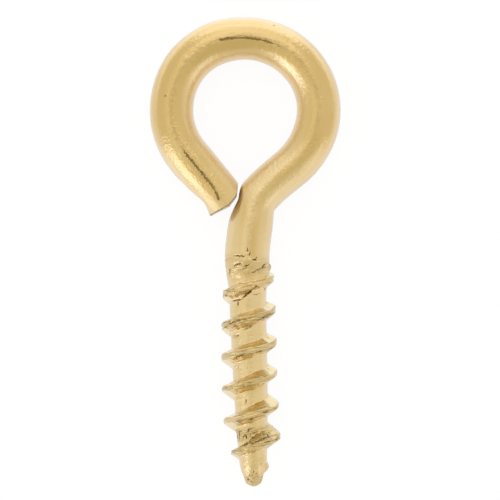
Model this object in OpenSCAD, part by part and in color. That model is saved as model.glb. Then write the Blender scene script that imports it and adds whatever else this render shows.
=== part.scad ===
// Screw eye: one length of wire, closed into an eye at one end and rolled with a coarse
// right-hand wood thread at the other. Millimetres. It lies as it comes to rest, on the
// eye's far edge and the lowest thread crest, with the floor at z = 0 and +Y from tip to eye.

/* [Wire] */
// Diameter of the wire in the eye, neck and plain shank
wire_d = 3.7; // [3.4:0.1:4]
// Whole length from the tip to the eye's far edge
total_length = 40; // [38:1:60]

/* [Eye] */
// Clear width across the eye
eye_inside = 8.8; // [7.4:0.2:11]
// Lean of the neck's straight run from the shank's line, in degrees
neck_lean = 52; // [48:1:56]
// Lean of the cut end's straight run from the shank's line, in degrees
end_lean = 38; // [34:1:42]
// Distance the cut end's point stops short of the neck's line
end_short = 0.9; // [0.6:0.1:1.2]
// Slit left between the two runs where they press together
slit = 0.08; // [0.06:0.02:0.3]

/* [Neck] */
// Radius of the bend from the neck into the shank, on the wire's centre line
bend_r = 2.2; // [2.1:0.1:2.4]
// Distance from that bend's corner to the slight kink above the thread
kink_drop = 5.2; // [4.8:0.1:6]
// Lean of the plain shank above the kink, in degrees
kink_lean = 7.7; // [4:0.1:9]
// Radius of the kink on the wire's centre line
kink_r = 5; // [3:0.5:8]
// Offset of the threaded shank's line from the eye's centre, towards the cut end
shank_offset = 0.32; // [0:0.02:0.6]

/* [Thread] */
// Distance from one crest to the next
pitch = 2.7; // [2.5:0.1:3]
// Diameter over the crests
crest_d = 4.72; // [4.5:0.02:5]
// Core diameter at the top of the thread
core_d = 3.2; // [2.9:0.1:3.3]
// Core diameter behind the tip
core_tip_d = 2.5; // [2.3:0.1:2.8]
// Width of the ridge at its crest
crest_w = 0.5; // [0.4:0.02:0.8]
// Slope of the flank that faces the eye, in degrees from square to the shank
flank_up = 24; // [20:1:30]
// Slope of the flank that faces the tip, in degrees from square to the shank
flank_down = 34; // [24:1:38]
// Distance from the tip to where the ridge dies out in the plain shank
thread_length = 18.7; // [16:0.1:19]

/* [Tip] */
// Diameter of the blunt end
tip_d = 1.3; // [1:0.1:1.6]
// Length of the taper from the blunt end to the core
tip_length = 1.9; // [1.5:0.1:2.4]

/* [Hidden] */
$fn = 48;

brass = [0.80, 0.65, 0.36];
wire_r = wire_d / 2;
eye_r = (eye_inside + wire_d) / 2; // centre line of the eye
tip_y = eye_r + wire_r - total_length;
wrap = 180 + neck_lean + end_lean;
meet = (end_lean - neck_lean) / 2; // turn of the line on which the two runs meet

// The neck's corner is placed so that the shank hangs shank_offset from the eye's centre
corner_run = (eye_r * cos(neck_lean) + shank_offset - kink_drop * sin(kink_lean))
    / sin(neck_lean);
bend_turn = neck_lean - kink_lean;
bend_cut = bend_r * tan(bend_turn / 2);
kink_cut = kink_r * tan(kink_lean / 2);
kink_y = -eye_r * sin(neck_lean) - corner_run * cos(neck_lean)
    - kink_drop * cos(kink_lean);

// Core of the threaded shank: a taper in two runs, then up to the wire at its top
core_r = core_d / 2;
core_tip_r = core_tip_d / 2;
tip_r = tip_d / 2;
nose = 0.45; // rounding of the blunt end
swell = thread_length - 1.85; // where the core starts to swell to the wire
swell_top = thread_length - 0.3;
mid_s = 5.6;
mid_r = core_tip_r + (core_r - core_tip_r) * 0.33;
function mix(a, b, t) = a + (b - a) * min(1, max(0, t));
function core_at(s) = s < tip_length
    ? mix(tip_r, core_tip_r, s / tip_length)
    : s < mid_s
    ? mix(core_tip_r, mid_r, (s - tip_length) / (mid_s - tip_length))
    : mix(mid_r, core_r, (s - mid_s) / (swell - mid_s));

// Ridge: n counts turns from the tip end, where the ridge starts on the +X side
STEPS = 30; // steps in one turn
lead = 1.45; // distance from the tip to the ridge's start
run_in = 1; // turns over which it rises
run_out = 1.7; // turns over which it sinks into the plain shank
crest_r = crest_d / 2;
turns = (thread_length - lead) / pitch;
bury = 0.35;
edge = 0.1; // bevel along the crest
function crest_at(n) = min(
    mix(core_at(lead) - 0.06, crest_r, sqrt(max(0, n) / run_in)),
    mix(wire_r - 0.08, crest_r, pow((turns - n) / run_out, 0.6)));
function root_at(n) = core_at(lead + n * pitch) - bury;
function half_at(n) = mix(0.12, crest_w / 2, n / run_in);
function on_ridge(n, r, off) = let(a = 90 + 360 * n)
    [r * sin(a), tip_y + lead + n * pitch + off, r * cos(a)];
function section(n) = let(
    c = crest_at(n), r = root_at(n), h = half_at(n),
    b = min(edge, (c - r) / 2),
    down = h + (c - r) * tan(flank_down), up = h + (c - r) * tan(flank_up))
    [on_ridge(n, r, -down), on_ridge(n, c - b, -h), on_ridge(n, c, b - h),
     on_ridge(n, c, h - b), on_ridge(n, c - b, h), on_ridge(n, r, up)];

// The floor meets the eye's far edge and the lowest crest, which sets how the part lies
low_crests = [for (m = [0 : floor(turns - 0.25)]) m + 0.25];
rest_tilt = max([for (n = low_crests)
    atan((crest_at(n) - wire_r) / (eye_r - tip_y - lead - n * pitch))]);
lift = wire_r + eye_r * sin(rest_tilt);
middle_y = eye_r + wire_r - total_length / 2;

// A straight run of wire along -Y; what follows it starts at its end
module straight(length) {
    rotate([90, 0, 0]) cylinder(r = wire_r, h = length);
    translate([0, -length, 0]) children();
}

// A bend that turns the wire by angle towards +X; what follows it starts at its end
module bend(radius, angle) {
    translate([radius, 0, 0]) {
        rotate([0, 0, 180]) rotate_extrude(angle = angle)
            translate([radius, 0]) circle(r = wire_r);
        rotate([0, 0, angle]) translate([-radius, 0, 0]) children();
    }
}

module eye_ring() {
    rotate([0, 0, -neck_lean]) rotate_extrude(angle = wrap)
        translate([eye_r, 0]) circle(r = wire_r);
}

// Neck: from the eye to the kink, pressed flat where the cut end bears on it
module neck() {
    far = 4;
    flat_end = eye_r * sqrt(2) - 1.3;
    difference() {
        rotate([0, 0, -neck_lean]) translate([eye_r, 0, 0])
            straight(corner_run - bend_cut) bend(bend_r, bend_turn)
            straight(kink_drop - bend_cut - kink_cut) bend(kink_r, kink_lean) core();
        rotate([0, 0, meet]) linear_extrude(height = far, center = true) polygon([
            [slit / 2, wire_r - eye_r], [slit / 2, -flat_end],
            [slit / 2 - far * tan(23), -flat_end - far], [-far, -flat_end - far],
            [-far, wire_r - eye_r]]);
    }
}

// Cut end: a straight run with a blunt wedge, a cutter's pinch and the pressed flat
module cut_end() {
    run = eye_r - end_short;
    far = 8;
    pinch_r = 1.75;
    pinch_depth = 0.36;
    difference() {
        mirror([1, 0, 0]) rotate([0, 0, -end_lean]) translate([eye_r, 0, 0])
            difference() {
                straight(run + 1);
                translate([0, -run, 0]) for (side = [-1, 1])
                    rotate([0, 0, side * 12]) translate([-far / 2, -far, -far / 2])
                        cube([far, far, far]);
                translate([wire_r + pinch_r - pinch_depth, -run + 1.45, 0])
                    cylinder(r = pinch_r, h = far, center = true);
            }
        rotate([0, 0, meet]) translate([-slit / 2, -eye_r * 2, -far / 2])
            cube([far, eye_r * 2, far]);
    }
}

module core() {
    shoulder = [for (a = [0 : 15 : 75])
        [tip_r - nose + nose * sin(a), nose - nose * cos(a)]];
    length = kink_y - kink_cut - tip_y;
    translate([0, -length, 0]) rotate([-90, 0, 0]) rotate_extrude()
        polygon(concat([[0, 0]], shoulder,
            [[core_at(nose * 1.4), nose * 1.4], [core_tip_r, tip_length],
             [mid_r, mid_s], [core_r, swell], [wire_r, swell_top],
             [wire_r, length], [0, length]]));
}

module ridge() {
    rows = ceil(turns * STEPS);
    points = [for (i = [0 : rows]) each section(turns * i / rows)];
    skin = [for (i = [0 : rows - 1], j = [0 : 5]) let(
        a = 6 * i + j, b = 6 * i + (j + 1) % 6) each [[a, b, a + 6], [b, b + 6, a + 6]]];
    last = 6 * rows;
    translate([-shank_offset, 0, 0]) polyhedron(points,
        concat([[5, 4, 3, 2, 1, 0]], skin, [[for (j = [0 : 5]) last + j]]));
}

module screw_eye() {
    color(brass) translate([0, -middle_y, lift]) rotate([-rest_tilt, 0, 0]) {
        eye_ring();
        neck();
        cut_end();
        ridge();
    }
}

screw_eye();
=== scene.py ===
"""Screw eye in bright brass: drawn wire closed into an eye, over a coarse rolled wood thread.

Each piece is one operator of this add-on, and main() calls them in order. Lengths are in
metres, in the frame of the packed part: the screw eye lies on the floor, tip towards -Y.
"""

import bmesh
import bpy
import numpy as np
from mathutils import Matrix, Vector


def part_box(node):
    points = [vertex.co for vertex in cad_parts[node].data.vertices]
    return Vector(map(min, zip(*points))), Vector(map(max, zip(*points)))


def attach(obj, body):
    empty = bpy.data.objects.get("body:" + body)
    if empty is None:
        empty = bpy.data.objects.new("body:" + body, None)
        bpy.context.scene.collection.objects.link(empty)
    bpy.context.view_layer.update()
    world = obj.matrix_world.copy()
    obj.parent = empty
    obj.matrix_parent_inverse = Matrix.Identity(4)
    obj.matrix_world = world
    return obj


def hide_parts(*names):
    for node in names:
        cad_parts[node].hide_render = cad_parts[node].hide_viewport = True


bl_info = {
    "name": "Brass Screw Eye",
    "version": (1, 0, 0),
    "blender": (4, 5, 0),
    "location": "3D View > Sidebar > Screw Eye",
    "description": "Builds a brass screw eye and a plain studio around it",
    "category": "Add Mesh",
}

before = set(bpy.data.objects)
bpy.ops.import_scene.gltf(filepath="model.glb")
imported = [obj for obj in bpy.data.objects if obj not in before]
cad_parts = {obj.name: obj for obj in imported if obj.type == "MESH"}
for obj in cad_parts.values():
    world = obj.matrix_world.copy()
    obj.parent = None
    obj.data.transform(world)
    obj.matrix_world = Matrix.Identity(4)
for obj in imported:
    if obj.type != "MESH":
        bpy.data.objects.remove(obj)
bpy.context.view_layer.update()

MM = 0.001
BOX_LOW, BOX_HIGH = (Vector(corner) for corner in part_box("screw_eye"))
NODE = "screw_eye"


# ---------------------------------------------------------------- sizes and colours


class WireSizes(bpy.types.PropertyGroup):
    """Sizes of the bent wire."""

    wire: bpy.props.FloatProperty(
        name="Wire", description="Diameter of the wire", default=3.7 * MM, unit="LENGTH"
    )
    length: bpy.props.FloatProperty(
        name="Length",
        description="Whole length from the tip to the eye's far edge",
        default=40 * MM,
        unit="LENGTH",
    )
    eye_outside: bpy.props.FloatProperty(
        name="Eye",
        description="Width over the eye",
        default=BOX_HIGH.x - BOX_LOW.x,
        unit="LENGTH",
    )
    neck_lean: bpy.props.FloatProperty(
        name="Neck lean",
        description="Lean of the neck's straight run from the shank's line",
        default=np.radians(52),
        unit="ROTATION",
    )
    end_lean: bpy.props.FloatProperty(
        name="End lean",
        description="Lean of the cut end's straight run from the shank's line",
        default=np.radians(38),
        unit="ROTATION",
    )
    bend: bpy.props.FloatProperty(
        name="Neck bend",
        description="Radius of the bend into the shank, on the centre line",
        default=2.2 * MM,
        unit="LENGTH",
    )
    kink_lean: bpy.props.FloatProperty(
        name="Kink",
        description="Lean of the plain shank above its kink",
        default=np.radians(7.7),
        unit="ROTATION",
    )
    rest_tilt: bpy.props.FloatProperty(
        name="Tilt at rest",
        description="Tilt at which the eye and the thread's crests touch the floor",
        default=np.radians(1.158),
        unit="ROTATION",
    )


class ThreadSizes(bpy.types.PropertyGroup):
    """Sizes of the rolled thread."""

    pitch: bpy.props.FloatProperty(
        name="Pitch", description="From one crest to the next", default=2.69 * MM, unit="LENGTH"
    )
    crest: bpy.props.FloatProperty(
        name="Crest", description="Diameter over the crests", default=4.72 * MM, unit="LENGTH"
    )
    crest_width: bpy.props.FloatProperty(
        name="Crest width", description="Width of the ridge's top", default=0.6 * MM, unit="LENGTH"
    )
    roughness: bpy.props.FloatProperty(
        name="Tearing",
        description="How torn the rolled metal is, 0 for clean",
        default=1.0,
        min=0.0,
        max=2.0,
    )


class BrassLooks(bpy.types.PropertyGroup):
    """Colours and gloss of the brass."""

    brass: bpy.props.FloatVectorProperty(
        name="Brass",
        description="Main colour of the metal",
        default=(0.725, 0.510, 0.193),
        subtype="COLOR",
        size=3,
        min=0,
        max=1,
    )
    # besides the shank's own paler tone, this colour is painted on the eye's inner and outer sides
    # as painted light
    pale: bpy.props.FloatVectorProperty(
        name="Pale brass",
        description="Colour of the shank, and where the metal is rubbed",
        default=(0.84, 0.64, 0.325),
        subtype="COLOR",
        size=3,
        min=0,
        max=1,
    )
    # painted reflection: this paler colour stands in for the floor's bright reflection on the lower
    # flanks, and lightens the pressed dent's shade
    rolled: bpy.props.FloatVectorProperty(
        name="Rolled brass",
        description="Colour of the thread's flanks that face the tip",
        default=(0.79, 0.63, 0.36),
        subtype="COLOR",
        size=3,
        min=0,
        max=1,
    )
    worked: bpy.props.FloatVectorProperty(
        name="Worked brass",
        description="Colour of the thread's ridge where the rolls squeezed it",
        default=(0.66, 0.515, 0.23),
        subtype="COLOR",
        size=3,
        min=0,
        max=1,
    )
    # painted highlight: this bright colour on the cups stands in for their reflection of the lit
    # floor beside the thread
    lips: bpy.props.FloatVectorProperty(
        name="Bright lips",
        description="Colour of the smooth cups at the thread's +X side",
        default=(0.96, 0.80, 0.40),
        subtype="COLOR",
        size=3,
        min=0,
        max=1,
    )
    # the dark colour of pits and cracks, also used for painted shade in the pressed dent and on the
    # cut face's rim, and for the painted dark reflection along the eye's crown
    tarnish_and_painted_shade: bpy.props.FloatVectorProperty(
        name="Tarnish",
        description="Colour in cracks and pits",
        default=(0.22, 0.137, 0.036),
        subtype="COLOR",
        size=3,
        min=0,
        max=1,
    )
    gloss: bpy.props.FloatProperty(
        name="Roughness",
        description="Roughness of the smooth wire",
        default=0.14,
        min=0,
        max=1,
        subtype="FACTOR",
    )


class StudioLooks(bpy.types.PropertyGroup):
    """Light, floor and camera."""

    sky: bpy.props.FloatProperty(
        name="Sky", description="Brightness of the white tent overhead", default=0.86, min=0
    )
    floor: bpy.props.FloatVectorProperty(
        name="Floor",
        description="Colour of the floor",
        default=(0.93, 0.93, 0.93),
        subtype="COLOR",
        size=3,
        min=0,
        max=1,
    )
    roll: bpy.props.FloatProperty(
        name="Camera roll",
        description="Turn of the camera about its line of sight",
        default=np.radians(-1.96),
        unit="ROTATION",
    )
    view_width: bpy.props.FloatProperty(
        name="View width",
        description="Width that the frame covers at the part",
        default=42.55 * MM,
        unit="LENGTH",
    )
    lens: bpy.props.FloatProperty(
        name="Lens", description="Focal length in millimetres", default=200, unit="CAMERA"
    )


# ---------------------------------------------------------------- small tools


def ease(x, low=0.0, high=1.0):
    """0 below low, 1 above high, and a smooth rise between."""
    t = np.clip((x - low) / (high - low), 0, 1)
    return t * t * (3 - 2 * t)


def soft_max(a, b, blend):
    """The larger of two, rounded where they cross."""
    return 0.5 * (a + b + np.sqrt((a - b) ** 2 + blend**2))


def soft_min(a, b, blend):
    """The smaller of two, rounded where they cross."""
    return -soft_max(-a, -b, blend)


GRAIN_ROWS = 997  # lumps along a bar before the noise comes round again


def grain(seed, turn, along, cells, cell):
    """Repeatable smooth noise from -1 to 1 on a round bar. turn is in whole turns and
    closes on itself; cells is the number of lumps around, cell the length of one."""
    table = np.random.default_rng(seed).uniform(-1, 1, (cells, GRAIN_ROWS))
    x, y = (turn % 1.0) * cells, along / cell
    i, j = np.floor(x).astype(int), np.floor(y).astype(int)
    u, v = ease(x - i), ease(y - j)
    a, b = i % cells, (i + 1) % cells
    c, d = j % GRAIN_ROWS, (j + 1) % GRAIN_ROWS
    low = table[a, c] * (1 - u) + table[b, c] * u
    high = table[a, d] * (1 - u) + table[b, d] * u
    return low * (1 - v) + high * v


# ---------------------------------------------------------------- the wire's course


# sideways error of the bent wire and error of its radius, both in mm, at mm from the cut end
SWAY = [
    (0, -0.02), (2.5, -0.08), (4.5, -0.075), (6.5, -0.055), (8.5, -0.02), (10.5, 0.0), (13.8, 0.09),
    (16.5, 0.045), (19, -0.05), (22, -0.04), (24.5, 0.0), (27.5, 0.055), (30, 0.025), (33, -0.055),
    (37.3, -0.07), (38.7, 0.09), (40.5, 0.0), (43, -0.03), (44.8, 0.09), (46, 0.09), (48, 0.0),
]  # fmt: skip
SWELL = [
    (0, 0), (3, 0), (4.5, 0.05), (7.5, 0.025), (9.5, 0), (17, 0.01), (19.3, -0.045), (21.5, -0.015),
    (24.5, 0.02), (29, 0.02), (31, 0.04), (32.5, 0), (34.5, -0.02), (37.5, -0.06), (38.7, 0.0),
    (40.7, 0.06), (43, 0.0), (70, 0.0),
]  # fmt: skip


def listed(table, at):
    """Values of a listed error at each place, rounded between the listed ones."""
    places, values = np.array(table).transpose() * MM
    spread = np.linspace(-0.7, 0.7, 7) * MM
    return sum(np.interp(at + step, places, values) for step in spread) / len(spread)


class Course:
    """The wire's centre line, from the cut end round the eye to the tip, as straight runs
    and bends in the eye's plane. The eye's centre is the origin."""

    END_SHORT = 0.9 * MM  # the cut end's straight run is this much shorter than the eye's radius
    KINK_DROP = 5.2 * MM  # from the neck's corner to the kink, along the wire
    KINK_R = 5.0 * MM  # radius of the kink's bend
    SHANK_X = -0.32 * MM  # the shank's line, sideways from the eye's centre

    def __init__(self, sizes):
        self.wire_r = sizes.wire / 2
        self.eye_r = sizes.eye_outside / 2 - self.wire_r
        neck, end, kink = sizes.neck_lean, sizes.end_lean, sizes.kink_lean
        # lean of the slit between the cut end and the neck
        self.meet = (end - neck) / 2
        # from the eye to where the neck's line meets that of the shank above its kink
        corner = self.eye_r * np.cos(neck) - self.SHANK_X - self.KINK_DROP * np.sin(kink)
        corner /= np.sin(neck)
        bend_cut = sizes.bend * np.tan((neck - kink) / 2)
        kink_cut = self.KINK_R * np.tan(kink / 2)
        tip_y = self.eye_r + self.wire_r - sizes.length
        kink_y = -self.eye_r * np.sin(neck) - corner * np.cos(neck)
        kink_y -= self.KINK_DROP * np.cos(kink)
        self.end_run = self.eye_r - self.END_SHORT
        # length and curvature of each run
        runs = [
            (self.end_run, 0.0),
            (self.eye_r * (np.pi + neck + end), -1 / self.eye_r),
            (corner - bend_cut, 0.0),
            (sizes.bend * (neck - kink), 1 / sizes.bend),
            (self.KINK_DROP - bend_cut - kink_cut, 0.0),
            (self.KINK_R * kink, 1 / self.KINK_R),
            (kink_y - kink_cut - tip_y, 0.0),
        ]
        heading = np.pi / 2 + end
        start = np.array((-self.eye_r * np.cos(end), -self.eye_r * np.sin(end)))
        start -= self.end_run * np.array((np.cos(heading), np.sin(heading)))
        self.chain(runs, start, heading)
        self.length = self.knots[-1]
        self.neck_start = self.knots[2]

    def chain(self, runs, start, heading):
        """Sets the runs end to end, and keeps where each one starts."""
        self.starts, self.knots = [], [0.0]
        for length, curve in runs:
            self.starts.append((*start, heading, curve))
            turned = heading + curve * length
            if curve:
                step = (np.sin(turned) - np.sin(heading), np.cos(heading) - np.cos(turned))
                start = start + np.array(step) / curve
            else:
                start = start + length * np.array((np.cos(heading), np.sin(heading)))
            heading = turned
            self.knots.append(self.knots[-1] + length)

    def at(self, along):
        """x, y and heading of the centre line at each distance from the cut end."""
        run = np.searchsorted(self.knots, along, side="right") - 1
        run = np.clip(run, 0, len(self.starts) - 1)
        x0, y0, h0, curve = np.moveaxis(np.array(self.starts)[run], -1, 0)
        d = along - np.array(self.knots)[run]
        heading = h0 + curve * d
        bent = np.where(curve == 0, 1.0, curve)
        x = np.where(curve == 0, x0 + d * np.cos(h0), x0 + (np.sin(heading) - np.sin(h0)) / bent)
        y = np.where(curve == 0, y0 + d * np.sin(h0), y0 + (np.cos(h0) - np.cos(heading)) / bent)
        return x, y, heading

    def skin(self, along, angle, radius):
        """Points at that radius round the centre line. angle 0 faces up, and a quarter turn
        faces the eye's outside, which on the shank is +X."""
        x, y, heading = self.at(along)
        side = radius * np.sin(angle) + listed(SWAY, along)
        return np.stack(
            [x - side * np.sin(heading), y + side * np.cos(heading), radius * np.cos(angle)], -1
        )


# ---------------------------------------------------------------- the rolled thread

LEAD = 1.45 * MM  # from the tip to where the ridge starts, on the +X side
RIDGE_TURNS = 6.4
CREST_LISTED = 4.72 * MM  # diameter over the crests that CREST is listed for
UPPER_FLANK, LOWER_FLANK = 13, 38  # degrees, before what each side of the wire adds
THREAD_TOP = 20.4 * MM  # end of the scored band above the thread
WOUND_R, WOUND_TOP = 1.9 * MM, 19.45 * MM  # mean radius and end of the brass's winding lines
PAST_RIDGE = 9.0  # a turn that lies past the ridge's end

# radius of the core at distances from the tip, both in mm
CORE = [
    (0.0, 0.42), (0.25, 0.60), (0.5, 0.73), (1.0, 0.86), (1.35, 1.04), (1.85, 1.17),
    (2.6, 1.21), (4.0, 1.29), (5.6, 1.37), (8.3, 1.47), (11.0, 1.51), (15.8, 1.58),
    (16.7, 1.60), (17.05, 1.69), (17.6, 1.76), (18.3, 1.845), (19.0, 1.89), (21.0, 1.915),
]  # fmt: skip

# radius of the crest in mm and share of its full width, at turns from the ridge's start
CREST = [
    (-0.5, 1.1, 0.1), (0.0, 1.12, 0.1), (0.25, 1.50, 0.3), (0.5, 1.86, 0.3), (0.8, 2.27, 0.6),
    (1.0, 2.39, 0.25), (1.25, 2.42, 0.6), (1.5, 2.40, 0.5), (1.75, 2.40, 0.8), (2.0, 2.40, 0.3),
    (2.25, 2.42, 0.7), (2.5, 2.48, 0.4), (2.75, 2.42, 0.9), (3.0, 2.34, 0.4), (3.25, 2.38, 0.8),
    (3.5, 2.44, 0.6), (3.75, 2.40, 1.0), (4.0, 2.40, 0.5), (4.25, 2.36, 0.9), (4.5, 2.27, 0.75),
    (4.75, 2.30, 1.1), (5.0, 2.33, 0.9), (5.25, 2.26, 1.0), (5.5, 2.12, 1.0), (5.75, 2.15, 1.0),
    (6.0, 2.20, 0.7), (6.25, 2.02, 0.6), (6.4, 1.86, 0.3), (9.0, 1.86, 0.3),
]  # fmt: skip

# angle of the upper flank in degrees and height of the raised lip in mm at the +X side, at turns
LIPS = [
    (0.0, 40, 0.15), (1.0, 40, 0.20), (2.0, 35, 0.15), (3.0, 31, 0.16), (4.0, 27, 0.12),
    (5.0, 23, 0.05), (6.0, 14, 0.10),
]  # fmt: skip


class Mark:
    """A crack, pit or burr on the shank: its middle as degrees from the top and mm from the
    tip, its length, width and depth in mm, its slant in degrees, 0 for square to the shank,
    and its sideways sway in mm."""

    def __init__(self, degrees, from_tip, length, width, depth, slant=0.0, sway=0.0):
        self.angle, self.s = np.radians(degrees), from_tip * MM
        self.half, self.width, self.depth = length * MM / 2, width * MM, depth * MM
        self.slant, self.sway = np.radians(slant), sway * MM

    def press(self, angle, s, radius):
        """How deep the mark is at each point. Below 0 it stands proud."""
        turn = (angle - self.angle + np.pi) % (2 * np.pi) - np.pi
        x, y = turn * radius, s - self.s
        u = x * np.cos(self.slant) + y * np.sin(self.slant)
        v = y * np.cos(self.slant) - x * np.sin(self.slant)
        v = v - self.sway * np.sin(u / self.half * 2.3)
        ragged = grain(41, turn, s, 90, 0.11 * MM) + 0.5 * grain(42, turn, s, 150, 0.07 * MM)
        v = v + 0.45 * self.width * ragged + 0.05 * MM * grain(43, turn, s, 47, 0.27 * MM)
        width = self.width * (0.85 + 0.40 * grain(44, turn, s, 61, 0.19 * MM))
        along = np.clip(1 - np.abs(u / self.half) ** 3, 0, 1)
        return self.depth * along * np.exp(-((v / width) ** 2)) * (1 + 0.35 * ragged)


MARKS = [
    # the scored band above the thread
    Mark(0, 20.1, 0.5, 0.07, 0.13, 86),
    Mark(6, 19.75, 0.5, 0.055, 0.09, 62),
    Mark(-19, 19.5, 1.2, 0.06, 0.11, -4, 0.03),
    Mark(-16, 19.68, 1.4, 0.05, -0.03, 0),
    Mark(19, 19.27, 0.5, 0.07, 0.13, 12, -0.05),
    Mark(24, 19.45, 0.35, 0.06, 0.11, 60),
    Mark(-27, 18.83, 0.9, 0.055, 0.14, 12),
    Mark(-2, 18.72, 0.8, 0.055, 0.12, 14),
    Mark(-13, 18.45, 1.3, 0.045, 0.07, 4),
    Mark(50, 18.7, 0.7, 0.075, 0.15, 28),
    Mark(84, 18.5, 0.75, 0.24, -0.13, 84),
    Mark(60, 18.5, 0.7, 0.05, -0.07, 14),
    Mark(38, 18.42, 1.5, 0.055, 0.10, 9),
    Mark(14, 18.12, 1.7, 0.05, 0.08, 6),
    Mark(-47, 18.15, 0.5, 0.07, -0.08, 84),
    Mark(-56, 18.3, 0.6, 0.065, 0.12, 60),
    # first turn under the eye
    Mark(5, 16.5, 1.7, 0.065, 0.15, 36, 0.04),
    Mark(22, 16.95, 0.7, 0.05, 0.10, -18),
    Mark(-10, 16.55, 1.3, 0.045, 0.08, 10),
    Mark(-38, 15.86, 1.3, 0.06, 0.12, 6),
    Mark(-33, 15.55, 0.45, 0.08, 0.10, 96),
    Mark(66, 16.78, 0.4, 0.10, 0.18, 60),
    Mark(28, 16.3, 1.0, 0.05, 0.07, 12),
    Mark(-62, 16.3, 0.35, 0.07, 0.10, 20),
    # second turn
    Mark(0, 13.5, 1.2, 0.09, 0.07, 24),
    Mark(-35, 13.95, 1.5, 0.05, 0.10, 12),
    Mark(-18, 13.9, 1.4, 0.04, 0.07, 12),
    Mark(-45, 12.85, 0.8, 0.06, 0.12, 6),
    Mark(-52, 12.72, 0.6, 0.07, -0.09, 0),
    Mark(40, 14.35, 1.6, 0.045, 0.06, 11),
    Mark(-60, 13.35, 0.7, 0.06, 0.10, 40),
    Mark(16, 12.95, 0.4, 0.05, 0.04, 70),
    # third turn
    Mark(-26, 11.05, 2.0, 0.05, 0.09, 19, 0.03),
    Mark(22, 11.45, 0.9, 0.06, 0.10, 4, 0.03),
    Mark(55, 11.65, 0.9, 0.06, 0.12, 14),
    Mark(-48, 10.2, 0.7, 0.06, -0.07, 0),
    Mark(-44, 10.12, 0.7, 0.05, 0.08, 0),
    Mark(-8, 10.1, 0.25, 0.06, 0.06, 90),
    # fourth turn
    Mark(48, 9.75, 0.4, 0.08, 0.08, 70),
    Mark(0, 8.65, 1.8, 0.045, 0.06, 11),
    Mark(-18, 7.25, 0.55, 0.06, 0.10, 84),
    Mark(-50, 7.5, 0.5, 0.06, -0.07, 10),
    # fifth turn
    Mark(0, 5.82, 0.25, 0.08, 0.10, 10),
    Mark(30, 6.35, 0.6, 0.05, 0.09, 14),
    Mark(-25, 6.15, 1.5, 0.045, 0.05, 12),
    # torn metal over the last turn
    Mark(-34, 4.3, 0.7, 0.045, 0.10, 62),
    Mark(-16, 4.75, 0.5, 0.045, 0.10, 50),
    Mark(-6, 4.9, 0.6, 0.04, 0.07, 22),
    Mark(12, 4.65, 0.7, 0.04, 0.07, 15),
    Mark(-58, 4.45, 0.9, 0.07, 0.10, 80),
    Mark(-80, 4.2, 0.5, 0.10, 0.14, 60),
    Mark(-74, 4.9, 0.4, 0.10, -0.10, 70),
    Mark(-26, 3.62, 1.1, 0.06, 0.15, 5, 0.05),
    Mark(-22, 4.25, 0.5, 0.045, 0.09, 100),
    Mark(-46, 4.75, 0.35, 0.05, 0.08, 40),
    Mark(-4, 4.45, 0.45, 0.04, 0.08, 70),
    Mark(6, 3.80, 0.8, 0.055, 0.12, 14, 0.04),
    Mark(24, 4.05, 0.9, 0.05, 0.11, 26, -0.04),
    Mark(52, 4.45, 0.9, 0.055, 0.12, 32),
    Mark(0, 4.16, 0.7, 0.04, 0.08, 32),
    Mark(34, 3.80, 0.7, 0.04, 0.08, 10),
    Mark(14, 4.38, 0.6, 0.035, 0.07, 40),
    Mark(40, 4.50, 0.4, 0.035, 0.07, 20),
    Mark(66, 4.05, 0.6, 0.045, 0.09, 36),
    # tip
    Mark(34, 1.95, 0.35, 0.05, 0.06, 90),
    Mark(2, 1.3, 0.5, 0.05, 0.07, 80),
    Mark(-40, 0.65, 0.18, 0.06, 0.045, 0),
    Mark(4, 0.75, 0.16, 0.06, 0.05, 40),
    Mark(26, 0.9, 0.20, 0.05, 0.05, 120),
    Mark(-14, 0.45, 0.16, 0.06, 0.06, 10),
    Mark(14, 1.15, 0.18, 0.05, 0.06, 30),
    Mark(-24, 1.0, 0.20, 0.05, 0.06, 70),
    Mark(90, 1.6, 0.9, 0.42, -0.16, 90),
]


def around(columns):
    """Angles of a ring's points, from the +X side."""
    return (0.25 + np.arange(columns) / columns) * 2 * np.pi


def two_triangles(a, b, c, d):
    """Both triangles of each four-sided patch."""
    pair = ([a, b, c], [a, c, d])
    return np.concatenate([np.stack(corners, -1).reshape(-1, 3) for corners in pair])


def straight_trace(course, angle, along):
    """Place on the wire in mm: round it, and along it from the cut end."""
    x, y = np.cos(angle) * course.wire_r, np.sin(angle) * course.wire_r
    return np.stack([x, y, along], -1) / MM


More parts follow.
